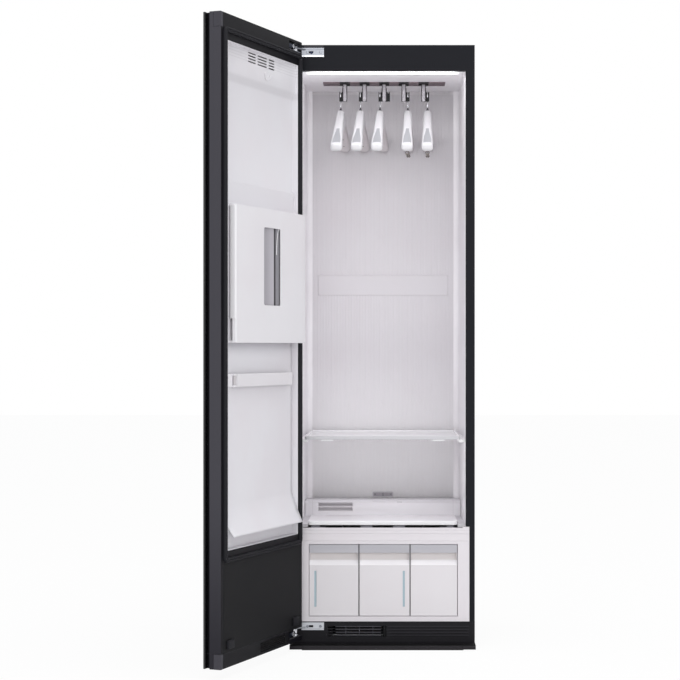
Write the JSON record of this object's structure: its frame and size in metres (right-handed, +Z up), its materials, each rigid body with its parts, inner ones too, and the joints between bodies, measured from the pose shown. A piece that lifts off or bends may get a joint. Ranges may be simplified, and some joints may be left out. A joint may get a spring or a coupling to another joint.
{
  "type": "clothes care steam cabinet",
  "caption": "Tall steam cabinet for clothes: hinged glass-faced door with a trouser press, moving hanger hooks, pull-out shelf, and water tanks and filter case behind a white lower front.",
  "frame": {"origin": "on the floor, at the middle of the cabinet's width, in the plane of the front frame's face", "axes": "+X to the right of somebody facing the cabinet, +Y into the cabinet, +Z up"},
  "size_m": [0.8254, 1.1482, 1.96],
  "materials": {
    "black_frame": "charcoal black, fine texture",
    "black_glass": "polished black glass",
    "case_steel": "fine matt powder coat, near black",
    "chrome_link": "nickel-plated",
    "copper_tube": "copper pipe and aluminium fins",
    "dark_plastic": "black plastic",
    "grey_bar": "pale grey plastic",
    "hanger_plastic": "white moulded plastic",
    "hook_steel": "brushed",
    "lamp_lens": "frosted lens",
    "machine_black": "black enamel",
    "press_film": "thin white film",
    "rubber": "matt black",
    "shelf_plastic": "clear white plastic",
    "slot_plastic": "dark purple brown plastic",
    "tank_plastic": "blue-grey translucent plastic",
    "white_front": "warm white moulded plastic, satin",
    "white_liner": "white moulded plastic, satin",
    "zinc_steel": "bare zinc-plated sheet"
  },
  "bodies": {
    "cabinet": {"side_panel_left": "case_steel", "side_panel_right": "case_steel", "top_panel": "case_steel", "back_panel": "zinc_steel", "base_frame": "zinc_steel", "levelling_feet": "rubber", "front_frame": "black_frame", "kick_panel": "dark_plastic", "plinth": "dark_plastic", "liner_left": "white_liner", "liner_right": "white_liner", "back_wall": "white_liner", "sensor_plate": "grey_bar", "ceiling_panel": "white_liner", "ceiling_light": "lamp_lens", "hook_slot_cover": "slot_plastic", "steam_bench": "white_liner", "floor_plate": "white_liner", "intake_grille": "dark_plastic", "lower_front_frame": "white_front", "tank_bay": "dark_plastic", "hinge_plates": "hook_steel", "hinge_screws": "chrome_link", "compressor": "machine_black", "heat_exchangers": "copper_tube", "fan_housing": "dark_plastic", "steam_generator": "hook_steel", "pumps": "dark_plastic", "control_box": "grey_bar", "hook_motor": "zinc_steel"},
    "hinge_linkage": {"hinge_links": "chrome_link"},
    "door": {"door_frame": "black_frame", "door_glass": "black_glass", "door_end_caps": "dark_plastic", "door_liner": "white_liner", "door_gasket": "rubber", "door_lower_panel": "black_frame", "door_vent_grille": "dark_plastic", "door_bumpers": "rubber", "press_board": "white_front", "press_sheet": "press_film", "trouser_hook": "hanger_plastic", "door_hinge_brackets": "hook_steel"},
    "press_cover": {"press_case": "white_front"},
    "press_arm": {"press_bar": "white_front"},
    "hook_carriage": {"hooks": "hook_steel", "hook_cradles": "dark_plastic"},
    "supply_drawer": {"supply_tank": "tank_plastic", "supply_tank_front": "white_front"},
    "drain_drawer": {"drain_tank": "tank_plastic", "drain_tank_front": "white_front"},
    "filter_drawer": {"filter_case": "grey_bar", "filter_case_front": "white_front"},
    "shelf": {"shelf": "shelf_plastic"},
    "fan": {"fan_wheel": "dark_plastic"},
    "hanger_1": {"hanger_1": "hanger_plastic"},
    "hanger_2": {"hanger_2": "hanger_plastic"},
    "hanger_3": {"hanger_3": "hanger_plastic"},
    "hanger_4": {"hanger_4": "hanger_plastic"},
    "hanger_5": {"hanger_5": "hanger_plastic"}
  },
  "joints": [
    {"name": "hinge_link_swing", "type": "hinge", "parent": "cabinet", "child": "hinge_linkage", "pos_m": [-0.2825, -0.0242, 0.98], "axis": [0, 0, -1], "range_deg": [-55.5, 4.45]},
    {"name": "door_turn", "type": "hinge", "parent": "hinge_linkage", "child": "door", "pos_m": [-0.30558, -0.04006, 0.98], "axis": [0, 0, -1], "range_deg": [-55.5, 4.45]},
    {"name": "press_cover_hinge", "type": "hinge", "parent": "door", "child": "press_cover", "pos_m": [-0.43727, -0.54275, 1.19], "axis": [0, 0, -1], "range_deg": [0, 80]},
    {"name": "press_bar_hinge", "type": "hinge", "parent": "door", "child": "press_arm", "pos_m": [-0.44111, -0.49415, 0.8765], "axis": [0, 0, -1], "range_deg": [0, 80]},
    {"name": "hook_shake", "type": "slide", "parent": "cabinet", "child": "hook_carriage", "axis": [1, 0, 0], "range_m": [-0.006, 0.006]},
    {"name": "hanger_1_swing", "type": "hinge", "parent": "hook_carriage", "child": "hanger_1", "pos_m": [-0.1435, 0.2815, 1.84424], "axis": [0, 1, 0], "range_deg": [-5, 5]},
    {"name": "hanger_2_swing", "type": "hinge", "parent": "hook_carriage", "child": "hanger_2", "pos_m": [-0.0765, 0.2815, 1.84424], "axis": [0, 1, 0], "range_deg": [-5, 5]},
    {"name": "hanger_3_swing", "type": "hinge", "parent": "hook_carriage", "child": "hanger_3", "pos_m": [-0.0095, 0.2815, 1.84424], "axis": [0, 1, 0], "range_deg": [-5, 5]},
    {"name": "hanger_4_swing", "type": "hinge", "parent": "hook_carriage", "child": "hanger_4", "pos_m": [0.0855, 0.2815, 1.84424], "axis": [0, 1, 0], "range_deg": [-5, 5]},
    {"name": "hanger_5_swing", "type": "hinge", "parent": "hook_carriage", "child": "hanger_5", "pos_m": [0.1525, 0.2815, 1.84424], "axis": [0, 1, 0], "range_deg": [-5, 5]},
    {"name": "supply_tank_slide", "type": "slide", "parent": "cabinet", "child": "supply_drawer", "axis": [0, -1, 0], "range_m": [0, 0.2]},
    {"name": "drain_tank_slide", "type": "slide", "parent": "cabinet", "child": "drain_drawer", "axis": [0, -1, 0], "range_m": [0, 0.2]},
    {"name": "filter_case_slide", "type": "slide", "parent": "cabinet", "child": "filter_drawer", "axis": [0, -1, 0], "range_m": [0, 0.2]},
    {"name": "shelf_slide", "type": "slide", "parent": "cabinet", "child": "shelf", "axis": [0, -1, 0], "range_m": [0, 0.25]},
    {"name": "fan_spin", "type": "hinge", "parent": "cabinet", "child": "fan", "pos_m": [0.19, 0.46, 0.2], "axis": [0, 1, 0], "continuous": true}
  ],
  "couplings": [
    {"joint": "door_turn", "follows": "hinge_link_swing", "ratio": 1}
  ]
}
